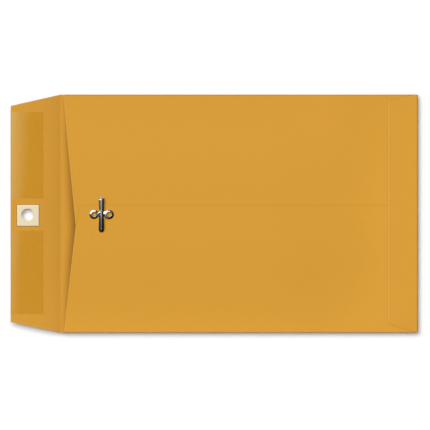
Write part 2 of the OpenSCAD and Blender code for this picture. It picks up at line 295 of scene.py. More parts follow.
def paper_sheet(name, points, faces, uv, edge_mm, sides, shade):
    """One ply of kraft: the grid is the side that looks out or up, and Solidify adds the thickness behind it.

    sides are the materials of the facing side, the hidden side and the cut edge. The grid's border is marked
    sharp.
    """
    piece = make_piece(name, points, faces, sides, uv, edge_mm, shade)
    mesh = piece.data
    corner_edge = np.empty(len(mesh.loops), np.int32)
    mesh.loops.foreach_get("edge_index", corner_edge)
    border = np.bincount(corner_edge, minlength=len(mesh.edges)) == 1
    sharp = mesh.attributes.new("sharp_edge", "BOOLEAN", "EDGE")
    sharp.data.foreach_set("value", border)
    ply = piece.modifiers.new("ply", "SOLIDIFY")
    ply.thickness = PAPER
    ply.offset = -1
    ply.material_offset = 1
    ply.material_offset_rim = 2
    return piece


def closed_grids(top, bottom):
    """Points and quads of a closed body: two grids (rows, columns, 3) of one size and a rim between them."""
    rows, columns = top.shape[:2]
    quads = grid_quads(rows, columns)
    index = np.arange(rows * columns).reshape(rows, columns)
    loop = np.concatenate([index[0, :-1], index[:-1, -1], index[-1, :0:-1], index[:0:-1, 0]])
    after = np.roll(loop, -1)
    under = rows * columns
    rim = np.stack([loop, after, after + under, loop + under], axis=-1)
    faces = np.concatenate([quads, quads[:, ::-1] + under, rim])
    return np.concatenate([top.reshape(-1, 3), bottom.reshape(-1, 3)]), faces


def slab(name, top, bottom, materials, uv=None):
    """A piece that fills the space between two grids of points; its map is given for one of them."""
    points, faces = closed_grids(top, bottom)
    if uv is not None:
        uv = np.concatenate([uv, uv])
    piece = make_piece(name, points, faces, materials, uv)
    piece.data.set_sharp_from_angle(angle=SHARP_ANGLE)
    return piece


def surface(x, y, z):
    """Stacks three broadcast coordinate arrays as points (..., 3)."""
    return np.stack(np.broadcast_arrays(x, y, z), axis=-1)


def blank_map(x, y):
    """Two broadcast coordinate arrays as places on the flat blank (n, 2)."""
    return np.stack(np.broadcast_arrays(x, y), axis=-1).reshape(-1, 2)


# Node helpers


def put(tree, socket, value):
    """Links an output socket to an input, or sets the input's plain value."""
    if isinstance(value, bpy.types.NodeSocket):
        tree.links.new(value, socket)
    else:
        socket.default_value = value


def calc(tree, operation, first, second):
    """A Math node of two values or sockets; returns its result."""
    node = tree.nodes.new("ShaderNodeMath")
    node.operation = operation
    put(tree, node.inputs[0], first)
    put(tree, node.inputs[1], second)
    return node.outputs[0]


def split(tree, vector):
    """The X, Y and Z of a vector, by those names."""
    node = tree.nodes.new("ShaderNodeSeparateXYZ")
    tree.links.new(vector, node.inputs[0])
    return node.outputs


def noise(tree, coordinates, scale, detail, stretch=None, turn=0.0):
    """A noise value around 0.5, with the coordinates stretched and turned about Z first if asked."""
    if stretch is not None:
        mapping = tree.nodes.new("ShaderNodeMapping")
        tree.links.new(coordinates, mapping.inputs["Vector"])
        mapping.inputs["Rotation"].default_value = (0, 0, turn)
        mapping.inputs["Scale"].default_value = stretch
        coordinates = mapping.outputs["Vector"]
    node = tree.nodes.new("ShaderNodeTexNoise")
    tree.links.new(coordinates, node.inputs["Vector"])
    node.inputs["Scale"].default_value = scale
    node.inputs["Detail"].default_value = detail
    return node.outputs["Fac"]


def ramp(tree, value, start, end, low, high):
    """Smoothly maps value from start..end to low..high."""
    node = tree.nodes.new("ShaderNodeMapRange")
    node.interpolation_type = "SMOOTHSTEP"
    put(tree, node.inputs["Value"], value)
    for socket, number in (("From Min", start), ("From Max", end), ("To Min", low), ("To Max", high)):
        put(tree, node.inputs[socket], number)
    return node.outputs["Result"]


def mix(tree, share, first, second):
    """Mixes two colours by a share."""
    node = tree.nodes.new("ShaderNodeMix")
    node.data_type = "RGBA"
    put(tree, node.inputs[0], share)
    put(tree, node.inputs[6], first)
    put(tree, node.inputs[7], second)
    return node.outputs[2]


def brighten(tree, colour, tone):
    """A colour with its value multiplied by tone."""
    node = tree.nodes.new("ShaderNodeHueSaturation")
    put(tree, node.inputs["Color"], colour)
    put(tree, node.inputs["Value"], tone)
    return node.outputs["Color"]


def bump(tree, height, distance):
    """A normal from a height value; distance is the relief in metres."""
    node = tree.nodes.new("ShaderNodeBump")
    put(tree, node.inputs["Height"], height)
    node.inputs["Distance"].default_value = distance
    node.inputs["Strength"].default_value = 1.0
    return node.outputs["Normal"]


def attribute(tree, name):
    """A per-point number of the piece's own mesh."""
    node = tree.nodes.new("ShaderNodeAttribute")
    node.attribute_name = name
    return node.outputs["Fac"]


def blank_place(tree):
    """The piece's own map of the flat blank, in metres."""
    node = tree.nodes.new("ShaderNodeUVMap")
    node.uv_map = "blank"
    return node.outputs["UV"]


def object_place(tree):
    """The place in the shared frame, in metres."""
    return tree.nodes.new("ShaderNodeTexCoord").outputs["Object"]


def new_group(name, inputs, outputs):
    """An empty shader node group with its sockets; inputs and outputs are (name, socket kind) pairs."""
    tree = bpy.data.node_groups.new(name, "ShaderNodeTree")
    for socket, kind in inputs:
        tree.interface.new_socket(name=socket, in_out="INPUT", socket_type=kind)
    for socket, kind in outputs:
        tree.interface.new_socket(name=socket, in_out="OUTPUT", socket_type=kind)
    return tree, tree.nodes.new("NodeGroupInput").outputs, tree.nodes.new("NodeGroupOutput").inputs


def use_group(tree, group, **values):
    """Places a group in a material; values are given by socket name with underscores for spaces."""
    node = tree.nodes.new("ShaderNodeGroup")
    node.node_tree = group
    for socket, value in values.items():
        put(tree, node.inputs[socket.replace("_", " ")], value)
    return node.outputs


def new_material(name):
    """A node material with its tree and Principled shader."""
    material = bpy.data.materials.new(name)
    material.use_nodes = True
    return material, material.node_tree, material.node_tree.nodes["Principled BSDF"]


NUMBER = "NodeSocketFloat"
VECTOR = "NodeSocketVector"


def paper_fibre_group():
    """Pulp fibres, as a tone round 1 and a relief: clouds, streaks along and across the sheet, and grain."""
    tree, given, result = new_group(
        "paper_fibres",
        [("Place", VECTOR), ("Cloud", NUMBER), ("Fibre", NUMBER)],
        [("Tone", NUMBER), ("Relief", NUMBER)],
    )
    place = given["Place"]
    clouds = noise(tree, place, scale=260, detail=3)
    along = noise(tree, place, scale=5200, detail=2, stretch=(0.14, 1, 1), turn=0.25)
    across = noise(tree, place, scale=4300, detail=2, stretch=(1, 0.18, 1), turn=-0.4)
    grain = noise(tree, place, scale=9000, detail=1)
    streaks = calc(tree, "SUBTRACT", calc(tree, "ADD", along, across), 1.0)
    cloud_part = calc(tree, "MULTIPLY", calc(tree, "SUBTRACT", clouds, 0.5), given["Cloud"])
    fibre_part = calc(tree, "MULTIPLY", streaks, given["Fibre"])
    put(tree, result["Tone"], calc(tree, "ADD", calc(tree, "ADD", cloud_part, fibre_part), 1.0))
    put(tree, result["Relief"], calc(tree, "ADD", calc(tree, "MULTIPLY", grain, 0.5), streaks))
    return tree


def cut_edge_group():
    """Pale cut edge mask, for frayed fibres and on the kraft a painted highlight: 1 at the cut, falling to 0
    over the width, broken up by fine noise.
    """
    tree, given, result = new_group(
        "cut_edge",
        [("Place", VECTOR), ("Distance mm", NUMBER), ("Width mm", NUMBER)],
        [("Wear", NUMBER)],
    )
    fray = noise(tree, given["Place"], scale=2400, detail=3)
    reach = calc(tree, "MULTIPLY", given["Width mm"], calc(tree, "ADD", fray, 0.5))
    share = calc(tree, "DIVIDE", given["Distance mm"], reach)
    put(tree, result["Wear"], ramp(tree, share, 0.0, 1.0, low=1.0, high=0.0))
    return tree


paper_fibres = paper_fibre_group()
cut_edge = cut_edge_group()

# Colours
KRAFT = (0.668, 0.3225, 0.0365, 1)
KRAFT_INSIDE = (0.652, 0.312, 0.037, 1)
# Pale fibre colour, also used for the painted highlight along the kraft's cut edges
KRAFT_FIBRE_AND_HIGHLIGHT = (0.76, 0.46, 0.13, 1)
CREAM = (0.80, 0.70, 0.46, 1)
CREAM_EDGE = (0.86, 0.78, 0.58, 1)
GUM_AMBER = (0.57, 0.264, 0.018, 1)
# Colour of the gum's painted sheen
GUM_SHEEN_PALE = (0.675, 0.408, 0.115, 1)
PASTE = (0.78, 0.70, 0.5, 1)
# Glue colour, dark enough to stand for the painted shadow round the patch
GLUE_AND_SHADOW_AMBER = (0.42, 0.195, 0.02, 1)
STEEL = (0.36, 0.352, 0.335, 1)

# How the finishes vary: the parts of the noises' ranges that are used, then shares and reaches, among them
# the kraft's painted edge highlight, the gum's painted sheen and the clasp's painted light and shade
NOISE_SPAN = (0.2, 0.8)
RELIEF_SPAN = (-0.4, 1.0)
BLOTCH_SPAN = (0.3, 0.8)
GLOSS_SPAN = (0.6, 1.4)
# Pale cut edges of the kraft: frayed fibres and a painted highlight
FRAY_AND_HIGHLIGHT_WIDTH_MM = 0.9
FRAY_AND_HIGHLIGHT_PALE = 0.55
ROUGHNESS_SPREAD = 0.08
# Painted sheen on the gum: its reach and strength ramp over this Y span, paler towards the flap's free edge
GUM_SPAN = 90 * MM
SHEEN_REACH = (5.5 * MM, 14.5 * MM)
SHEEN_STRENGTH = (0.4, 0.93)
SHEEN_POWER = 1.5
SHEEN_BLOTCH = 0.3
BRUSH_TONE = 0.1
# Painted shade and light on the clasp by Y: darker towards the lower tip, lighter towards the upper
METAL_SHADE_SPAN = (-9 * MM, 6 * MM)
METAL_SHADE_TONE = (0.42, 1.15)


def edge_wear_and_highlight(tree, place):
    """How pale the paper or card is by its own distance to the cut: frayed fibres, and on the kraft a painted
    highlight.
    """
    distance = attribute(tree, "cut_edge_mm")
    return use_group(tree, cut_edge, Place=place, Distance_mm=distance, Width_mm=FRAY_AND_HIGHLIGHT_WIDTH_MM)["Wear"]


def kraft_material(name, colour, roughness, relief):
    """Kraft paper: fibres and clouds on the flat blank's own map.

    It is paler along a cut edge, by frayed fibres and a painted highlight, and darker by the mesh's own
    painted shade number.
    """
    material, tree, shader = new_material(name)
    place = blank_place(tree)
    fibres = use_group(tree, paper_fibres, Place=place, Cloud=0.03, Fibre=0.07)
    # Paler along cut edges: frayed fibres and a painted highlight
    worn_and_lit = calc(tree, "MULTIPLY", edge_wear_and_highlight(tree, place), FRAY_AND_HIGHLIGHT_PALE)
    tone = calc(tree, "SUBTRACT", fibres["Tone"], attribute(tree, "shade"))
    smoother, rougher = roughness - ROUGHNESS_SPREAD, roughness + ROUGHNESS_SPREAD
    put(tree, shader.inputs["Base Color"], brighten(tree, mix(tree, worn_and_lit, colour, KRAFT_FIBRE_AND_HIGHLIGHT), tone))
    put(tree, shader.inputs["Roughness"], ramp(tree, fibres["Relief"], *RELIEF_SPAN, smoother, rougher))
    put(tree, shader.inputs["Normal"], bump(tree, fibres["Relief"], relief))
    shader.inputs["Specular IOR Level"].default_value = 0.12
    return material


def kraft_edge_material():
    """The cut edge of the paper: pale torn fibres in layers."""
    material, tree, shader = new_material("kraft_cut_edge")
    fibres = use_group(tree, paper_fibres, Place=object_place(tree), Cloud=0.1, Fibre=0.2)
    put(tree, shader.inputs["Base Color"], brighten(tree, KRAFT_FIBRE_AND_HIGHLIGHT, fibres["Tone"]))
    put(tree, shader.inputs["Normal"], bump(tree, fibres["Relief"], distance=0.02 * MM))
    shader.inputs["Roughness"].default_value = 0.9
    shader.inputs["Specular IOR Level"].default_value = 0.1
    return material


def gum_material():
    """Dried gum: amber with brush streaks and a satin gloss, and a painted sheen that pales it towards the
    flap's free edge.
    """
    material, tree, shader = new_material("dried_gum")
    place = blank_place(tree)
    parts = split(tree, place)
    streaks = noise(tree, place, scale=700, detail=3, stretch=(1, 0.12, 1))
    blotches = noise(tree, place, scale=120, detail=3)
    from_edge = calc(tree, "SUBTRACT", parts["X"], float(FLAP_LOW[X]))
    reach = ramp(tree, parts["Y"], -GUM_SPAN, GUM_SPAN, *SHEEN_REACH)
    uneven = calc(tree, "ADD", 1 - SHEEN_BLOTCH / 2, calc(tree, "MULTIPLY", blotches, SHEEN_BLOTCH))
    reach = calc(tree, "MULTIPLY", reach, uneven)
    left = calc(tree, "MAXIMUM", calc(tree, "SUBTRACT", 1.0, calc(tree, "DIVIDE", from_edge, reach)), 0.0)
    strength = ramp(tree, parts["Y"], -GUM_SPAN, GUM_SPAN, *SHEEN_STRENGTH)
    # Painted sheen
    painted_sheen = calc(tree, "MULTIPLY", calc(tree, "POWER", left, SHEEN_POWER), strength)
    fibres = use_group(tree, paper_fibres, Place=place, Cloud=0.06, Fibre=0.05)
    brushed = calc(tree, "MULTIPLY", calc(tree, "SUBTRACT", streaks, 0.5), BRUSH_TONE)
    tone = calc(tree, "ADD", fibres["Tone"], brushed)
    tone = calc(tree, "SUBTRACT", tone, ramp(tree, from_edge, 0.0, GUM_EDGE_REACH, FREE_EDGE_SHADE, 0.0))
    put(tree, shader.inputs["Base Color"], brighten(tree, mix(tree, painted_sheen, GUM_AMBER, GUM_SHEEN_PALE), tone))
    put(tree, shader.inputs["Roughness"], ramp(tree, streaks, *NOISE_SPAN, low=0.36, high=0.56))
    relief = calc(tree, "ADD", streaks, fibres["Relief"])
    put(tree, shader.inputs["Normal"], bump(tree, relief, distance=0.02 * MM))
    shader.inputs["Specular IOR Level"].default_value = 0.1
    return material


def patch_material():
    """Cream patch card: fine felted fibres, paler along its cut edges."""
    material, tree, shader = new_material("cream_patch_card")
    place = blank_place(tree)
    fibres = use_group(tree, paper_fibres, Place=place, Cloud=0.05, Fibre=0.10)
    cream = mix(tree, edge_wear_and_highlight(tree, place), CREAM, CREAM_EDGE)
    put(tree, shader.inputs["Base Color"], brighten(tree, cream, fibres["Tone"]))
    put(tree, shader.inputs["Normal"], bump(tree, fibres["Relief"], distance=0.03 * MM))
    shader.inputs["Roughness"].default_value = 0.8
    shader.inputs["Specular IOR Level"].default_value = 0.2
    return material


def paste_material(name, colour):
    """Dried glue film: mottled and dull."""
    material, tree, shader = new_material(name)
    place = object_place(tree)
    mottle = noise(tree, place, scale=600, detail=4)
    tone = ramp(tree, mottle, *NOISE_SPAN, low=0.85, high=1.1)
    put(tree, shader.inputs["Base Color"], brighten(tree, colour, tone))
    put(tree, shader.inputs["Roughness"], ramp(tree, mottle, *NOISE_SPAN, low=0.4, high=0.7))
    put(tree, shader.inputs["Normal"], bump(tree, mottle, distance=0.02 * MM))
    return material


def clasp_material():
    """Bright plated steel: rolling lines and dull blotches in its gloss, and painted shade and light, darker
    towards the lower tip.
    """
    material, tree, shader = new_material("clasp_plated_steel")
    place = object_place(tree)
    parts = split(tree, place)
    lines = noise(tree, place, scale=9000, detail=2, stretch=(1, 0.06, 1))
    blotches = noise(tree, place, scale=900, detail=3)
    # Painted shade and light by Y
    painted_shade = ramp(tree, parts["Y"], *METAL_SHADE_SPAN, *METAL_SHADE_TONE)
    tone = calc(tree, "MULTIPLY", painted_shade, ramp(tree, blotches, *BLOTCH_SPAN, low=0.86, high=1.08))
    gloss = calc(tree, "ADD", lines, blotches)
    put(tree, shader.inputs["Base Color"], brighten(tree, STEEL, tone))
    put(tree, shader.inputs["Roughness"], ramp(tree, gloss, *GLOSS_SPAN, low=0.08, high=0.2))
    put(tree, shader.inputs["Normal"], bump(tree, lines, distance=0.004 * MM))
    shader.inputs["Metallic"].default_value = 1.0
    return material


kraft_outside = kraft_material("kraft_outside", KRAFT, roughness=0.74, relief=0.015 * MM)
kraft_inside = kraft_material("kraft_inside", KRAFT_INSIDE, roughness=0.82, relief=0.025 * MM)
kraft_cut = kraft_edge_material()
dried_gum = gum_material()
patch_card = patch_material()
paste_film = paste_material("paste_film", PASTE)
patch_glue = paste_material("patch_glue", GLUE_AND_SHADOW_AMBER)
clasp_metal = clasp_material()

FACING_OUT = (kraft_outside, kraft_inside, kraft_cut)
FACING_IN = (kraft_inside, kraft_outside, kraft_cut)

# Distance in millimetres that stands for no cut edge nearby
FAR_FROM_EDGE = 20.0


def to_mm(*distances):
    """The smallest of several distances, in millimetres, from 0 to FAR_FROM_EDGE."""
    smallest = np.minimum.reduce(np.broadcast_arrays(*distances))
    return np.clip(smallest / MM, 0, FAR_FROM_EDGE)


def flap_sides(x):
    """Lower and upper Y of the back sheet at X.

    They run along the fold lines of the pouch, out to the full width just inside the mouth, then by the
    flap's taper to its free edge, whose corners are rounded.
    """
    full_x = MOUTH_X + FULL_WIDTH_INSET
    root_share = np.clip((x - full_x) / (SCORE_X - full_x), 0, 1)
    taper_share = np.clip((MOUTH_X - x) / (MOUTH_X - FLAP_LOW[X]), 0, 1)
    corner = corner_cut(x - FLAP_LOW[X], FLAP_CORNER_R)
    upper = FLAP_HIGH[Y] + (FLAP_EDGE_TOP - FLAP_HIGH[Y]) * taper_share
    upper = upper + (UPPER_FOLD_Y - FLAP_HIGH[Y]) * root_share
    lower = FLAP_LOW[Y] + (FLAP_EDGE_BOTTOM - FLAP_LOW[Y]) * taper_share
    lower = lower + (LOWER_FOLD_Y - FLAP_LOW[Y]) * root_share
    return lower + corner, upper - corner


def square_to_circle(square_x, square_y, radius, shares):
    """Rings between a square outline and the hole.

    Each outline point moves straight to the circle at its own angle, by each of the shares.
    """
    angle = np.arctan2(square_y - HOLE_Y, square_x - HOLE_X)
    circle_x = HOLE_X + radius * np.cos(angle)
    circle_y = HOLE_Y + radius * np.sin(angle)
    shares = shares[:, None]
    return square_x + (circle_x - square_x) * shares, square_y + (circle_y - square_y) * shares


def back_sheet():
    """Back panel, score and closing flap as one sheet.

    It is a grid of X stations by three runs of Y, with the square of cells round the hole swapped for rings
    that end on the hole's circle.
    """
    half = HOLE_SQUARE_HALF
    count = HOLE_SQUARE_CELLS
    corner_rows, free_rows = 8, 3
    stations = steps(
        FLAP_LOW[X],
        (FLAP_LOW[X] + FLAP_CORNER_R, corner_rows),
        (HOLE_X - half, free_rows),
        (HOLE_X + half, count),
        (MOUTH_X, 14),
        (SCORE_X, 28),
        (SCORE_X + SCORE_ZONE, 6),
        (BOTTOM_FOLD_X, 90),
    )
    low, high = flap_sides(stations)
    run = steps(0.0, (EDGE_SHARE, 4), (1.0, 22))
    low_run = low[:, None] + (HOLE_Y - half - low[:, None]) * run
    middle = np.linspace(HOLE_Y - half, HOLE_Y + half, count + 1)
    middle_run = np.broadcast_to(middle, (len(stations), count + 1))
    high_run = HOLE_Y + half + (high[:, None] - HOLE_Y - half) * (1 - run[::-1])
    y = np.hstack([low_run, middle_run[:, 1:], high_run[:, 1:]])
    x = np.broadcast_to(stations[:, None], y.shape)
    rows, columns = y.shape
    index = np.arange(rows * columns).reshape(rows, columns)
    first = corner_rows + free_rows
    last = first + count
    left = len(run) - 1
    right = left + count
    cells = np.ones((rows - 1, columns - 1), bool)
    cells[first:last, left:right] = False
    quads = grid_quads(rows, columns)[cells.ravel()]
    outline = np.concatenate(
        [
            index[first:last, left],
            index[last, left:right],
            index[last:first:-1, right],
            index[first, right:left:-1],
        ]
    )
    ring_x, ring_y = square_to_circle(x.ravel()[outline], y.ravel()[outline], HOLE_R, HOLE_RING_SHARES)
    ring_index = np.vstack([outline, rows * columns + np.arange(ring_x.size).reshape(ring_x.shape)])
    ring_next = np.roll(ring_index, -1, axis=1)
    ring_quads = np.stack([ring_index[:-1], ring_next[:-1], ring_next[1:], ring_index[1:]], axis=-1)
    faces = np.concatenate([quads, ring_quads.reshape(-1, 4)])
    x = np.concatenate([x.ravel(), ring_x.ravel()])
    y = np.concatenate([y.ravel(), ring_y.ravel()])
    used, faces = np.unique(faces, return_inverse=True)
    x, y, faces = x[used], y[used], faces.reshape(-1, 4)
    low, high = flap_sides(x)
    off_flap = np.where(x > MOUTH_X, FAR_FROM_EDGE * MM, 0)
    edge = to_mm(
        x - FLAP_LOW[X],
        high - y + off_flap,
        y - low + off_flap,
        np.hypot(x - HOLE_X, y - HOLE_Y) - HOLE_R,
    )
    points = surface(x, y, back_top(x, y))
    piece = paper_sheet("back_sheet", points, faces, blank_map(x, y), edge, FACING_IN, back_shade(x, y))
    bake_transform(piece)
    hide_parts("back_panel", "flap_score", "closing_flap")


def back_shade(x, y):
    """How much darker the back sheet's upward side is made, by painted shade.

    A painted shadow lies under the throat's edge, deepest and widest at the V, painted shade on the flap from
    its middle to the crease, and a thin dark line along the flap's cut edges.
    """
    edge = np.where(y > THROAT_V[Y], throat_edge(y, True), throat_edge(y, False))
    from_v = y - THROAT_V[Y]
    gape = np.clip(1 - np.abs(from_v) / np.where(from_v > 0, *MOUTH_SHADE_REACH), 0, 1)
    band = MOUTH_BAND + MOUTH_BAND_EXTRA * gape
    # Painted shadow under the throat's edge
    throat = MOUTH_SHADE * gape * smooth(-band, SHADE_FADE, x - edge)
    on_flap = smooth(0, SHADE_FADE, MOUTH_X - x)
    # Painted shade on the flap, darker towards the crease
    crease = CREASE_SHADE * np.exp(-np.clip(MOUTH_X - x, 0, None) / CREASE_REACH) * on_flap
    low, high = flap_sides(x)
    inside = np.minimum.reduce([x - FLAP_LOW[X], y - low, high - y])
    free_edge = FREE_EDGE_SHADE * near(inside, FREE_EDGE_REACH) * on_flap
    # Painted shade on the flap from its middle to the crease
    middle = FLAP_SHADE * smooth(*FLAP_SHADE_REACH, x - FLAP_LOW[X]) * on_flap
    return throat + crease + free_edge + middle


def throat_edge(y, upper):
    """X of the mouth's cut at Y: straight from a side fold to the V.

    Above the V the lower panel's cut leans back, and turns into the seam by a rounded corner.
    """
    if upper:
        share = (UPPER_FOLD_Y - y) / (UPPER_FOLD_Y - THROAT_V[Y])
        return UPPER_THROAT_X + (THROAT_V[X] - UPPER_THROAT_X) * share
    below = SCORE_X + (THROAT_V[X] - SCORE_X) * (y - LOWER_FOLD_Y) / (THROAT_V[Y] - LOWER_FOLD_Y)
    above = THROAT_V[X] + THROAT_LEAN * (y - THROAT_V[Y])
    return np.where(y > THROAT_V[Y], above, below) + corner_cut(SEAM_Y - y, THROAT_CORNER_R)


def front_shade(x, y, upper, from_fold):
    """How much darker a front panel is made, by painted light and shade.

    Painted light and shade even out the lamps' shading of the bow: darker towards the upper side, lighter
    towards the lower, and where the front falls to the bottom lighter above Y = -40 mm and darker below it.
    Painted shade lies along the side fold, a painted shadow softly beside the prongs, and painted contact
    shadow where plies are
    glued down: along the bottom flap, the seam and the slanted cut above the V, on both plies of the seam.
    """
    # Painted shade along the side fold
    fold = (UPPER_FOLD_SHADE if upper else LOWER_FOLD_SHADE) * near(from_fold, FOLD_LINE_REACH)
    # Painted light and shade that even out the bow's shading
    painted_light = PAINTED_LIGHT_ACROSS * y / BOW_HALF
    above = np.clip((y - PAINTED_LIGHT_Y) / PAINTED_LIGHT_HALF, -1, 1)
    painted_light = painted_light - PAINTED_LIGHT_ALONG * smooth(FALL_START, PAINTED_LIGHT_FULL, x) * above
    # Painted contact shadow along the bottom flap, the seam and the slanted cut above the V
    low, high = end_sides(x)
    past_end = np.maximum.reduce([END_LOW[X] - x, y - high, low - y])
    slant = throat_edge(np.minimum(y, SEAM_Y), False) - x
    if upper:
        seam = near(np.maximum(y - SEAM_Y, slant), 0.5 * LINE_REACH)
    else:
        seam = near(np.minimum(SEAM_Y - y, np.where(y > THROAT_V[Y], -slant, SEAM_Y - y)), LINE_REACH)
    # Painted shadow beside the prongs
    along_prongs = smooth(0, PRONG_SHADOW_REACH, PRONG_SPAN - np.abs(y - CLASP_Y))
    prong_shadow = PRONG_SHADOW_SHADE * near(np.abs(x - PRONG_SHADOW_X), PRONG_SHADOW_REACH) * along_prongs
    return fold + painted_light + prong_shadow + END_SHADE * near(past_end, LINE_REACH) + SEAM_SHADE * seam


def front_sheet(name, upper, nodes):
    """A front panel with its side fold, in lines that run from the throat to the bottom fold.

    Across, they go by a half circle round the fold's axis and then over the bowed front to its inner edge.
    """
    side = 1 if upper else -1
    radius = UPPER_FOLD_R if upper else LOWER_FOLD_R
    fold_y = UPPER_FOLD_Y if upper else LOWER_FOLD_Y
    plies = 1 if upper else 2
    turn = FOLD_TURN
    across = steps(fold_y, (fold_y - side * FOLD_ZONE, 28), (side * CROWN_HALF, 33))
    if upper:
        inner = steps(CROWN_HALF, (SEAM_Y + LINE_REACH, 4), (SEAM_Y, 6), (THROAT_V[Y], 8), (SEAM_UNDER_Y, 2))
    else:
        inner = steps(-CROWN_HALF, (THROAT_V[Y], 3), (SEAM_Y - THROAT_CORNER_R, 8), (SEAM_Y, 12))
    across = np.concatenate([across, inner[1:]])
    line_y = np.concatenate([fold_y + side * radius * np.cos(turn), across])
    start = np.concatenate([np.full(len(turn), SCORE_X), throat_edge(across, upper)])[:, None]
    throat = start + (THROAT_END_X - start) * np.linspace(0, 1, 17)[:-1]
    end_line = END_LOW[X] - LINE_REACH
    # Stations that carry the painted shadow beside the prongs
    prong_shadow_start, prong_shadow_end = PRONG_SHADOW_X - PRONG_SHADOW_REACH, PRONG_SHADOW_X + PRONG_SHADOW_REACH
    stations = steps(
        THROAT_END_X,
        (prong_shadow_start, 5),
        (prong_shadow_end, 10),
        (end_line, 80),
        (END_LOW[X] + END_ZONE, 8),
        (PANEL_END_X, 30),
    )
    x = np.hstack([throat, np.broadcast_to(stations, (len(start), len(stations)))])
    y = np.broadcast_to(line_y[:, None], x.shape)
    rise = radius * np.concatenate([np.sin(turn), np.ones(len(across))])[:, None]
    fold_z = back_face(x, fold_y) + radius + rise
    on_fold = (np.arange(len(line_y)) < len(turn))[:, None]
    z = np.where(on_fold, fold_z, front_top(x, y, plies))
    unrolled = np.concatenate([fold_y + side * radius * (math.pi / 2 - turn), across])[:, None]
    glued_down = (y > THROAT_V[Y]) & (plies == 2)
    edge = to_mm(x - start + np.where(glued_down, FAR_FROM_EDGE * MM, THROAT_FRAY_AND_HIGHLIGHT))
    shade = front_shade(x, y, upper, np.where(on_fold, 0, np.abs(y - fold_y)))
    points = surface(x, y, z).reshape(-1, 3)
    uv = blank_map(x, unrolled)
    faces = grid_quads(*x.shape)
    if not upper:
        faces = faces[:, ::-1]
    piece = paper_sheet(name, points, faces, uv, edge.ravel(), FACING_OUT, shade.ravel())
    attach(piece, "pouch")
    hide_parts(*nodes)


def end_sides(x):
    """Lower and upper Y of the bottom flap at X: a taper from the pouch's corners to a rounded edge."""
    share = np.clip((BOTTOM_FOLD_X - x) / (BOTTOM_FOLD_X - END_LOW[X]), 0, 1)
    corner = corner_cut(x - END_LOW[X], END_CORNER_R)
    lowest = LOWER_FOLD_Y - LOWER_FOLD_R + FOLD_INSET
    highest = UPPER_FOLD_Y + UPPER_FOLD_R - FOLD_INSET
    lower = lowest + (END_EDGE_BOTTOM - lowest) * share + corner
    upper = highest + (END_EDGE_TOP - highest) * share - corner
    return lower, upper


def end_top(x, y):
    """Outer side of the bottom flap: the lower panel's outer side plus a glue film and a ply."""
    return front_top(x, y, 2) + GLUE + PAPER


def bottom_end():
    """Bottom fold and bottom flap: a half circle round the fold's axis, then on over the front panels."""
    turn = FOLD_TURN
    flat = steps(
        BOTTOM_FOLD_X,
        (BOTTOM_FOLD_X - LINE_REACH, 5),
        (END_LOW[X] + END_CORNER_R, 12),
        (END_LOW[X], 8),
    )
    line_x = np.concatenate([BOTTOM_FOLD_X + BOTTOM_FOLD_R * np.cos(turn), flat])
    low, high = end_sides(line_x)
    share = np.linspace(0, 1, LONG_SIDE_POINTS)
    y = low[:, None] + (high - low)[:, None] * share
    x = np.broadcast_to(line_x[:, None], y.shape)
    rise = BOTTOM_FOLD_R * (1 + np.concatenate([np.sin(turn), np.ones(len(flat))]))[:, None]
    on_fold = (np.arange(len(line_x)) < len(turn))[:, None]
    z = np.where(on_fold, back_face(np.full_like(x, BOTTOM_FOLD_X), y) + rise, end_top(x, y))
    unrolled = np.concatenate([BOTTOM_FOLD_X + BOTTOM_FOLD_R * (math.pi / 2 - turn), flat])[:, None]
    edge = to_mm(np.where(on_fold, FAR_FROM_EDGE * MM, x - END_LOW[X]))
    # Painted shade along the bottom fold's turn
    shade = BOTTOM_FOLD_SHADE * near(np.where(on_fold, 0, BOTTOM_FOLD_X - x), LINE_REACH)
    points = surface(x, y, z).reshape(-1, 3)
    uv = blank_map(unrolled, y)
    faces = grid_quads(*x.shape)[:, ::-1]
    piece = paper_sheet("bottom_end", points, faces, uv, edge.ravel(), FACING_OUT, shade.ravel())
    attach(piece, "pouch")
    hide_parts("bottom_flap", "bottom_fold")


def glue_films():
    """The paste between seam plies and under the bottom flap: slabs that fill the gap between the papers."""
    low, high = node_box("seam_glue")
    x = np.linspace(low[X], high[X], LONG_SIDE_POINTS)[:, None]
    y = np.linspace(low[Y], high[Y], SHORT_SIDE_POINTS)[None, :]
    under = front_top(x, y, 1)
    seam = slab("seam_paste", surface(x, y, under + GLUE), surface(x, y, under), [paste_film])
    low, high = node_box("bottom_flap_glue")
    x = np.linspace(low[X], high[X], SHORT_SIDE_POINTS)[:, None]
    lower, upper = end_sides(x)
    share = np.linspace(0, 1, LONG_SIDE_POINTS)[None, :]
    y = lower + PASTE_INSET + (upper - lower - 2 * PASTE_INSET) * share
    under = front_top(x, y, np.where(y > SEAM_Y, 1, 2))
    end = slab("bottom_paste", surface(x, y, end_top(x, y) - PAPER), surface(x, y, under), [paste_film])
    for piece, node in ((seam, "seam_glue"), (end, "bottom_flap_glue")):
        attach(piece, "pouch")
        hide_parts(node)


# Gum strips: shares of a strip over which its film feathers out, and how far its brushed outline wanders
GUM_SIDE_SHARE = 0.03
GUM_END_SHARE = 0.015
GUM_RIM = 0.35
GUM_LONG_WANDER = 0.12 * MM
GUM_LONG_WAVE = 700
GUM_SHORT_WANDER = 0.08 * MM
GUM_SHORT_WAVE = 1900
GUM_END_WANDER = 0.2 * MM
GUM_END_WAVE = 900


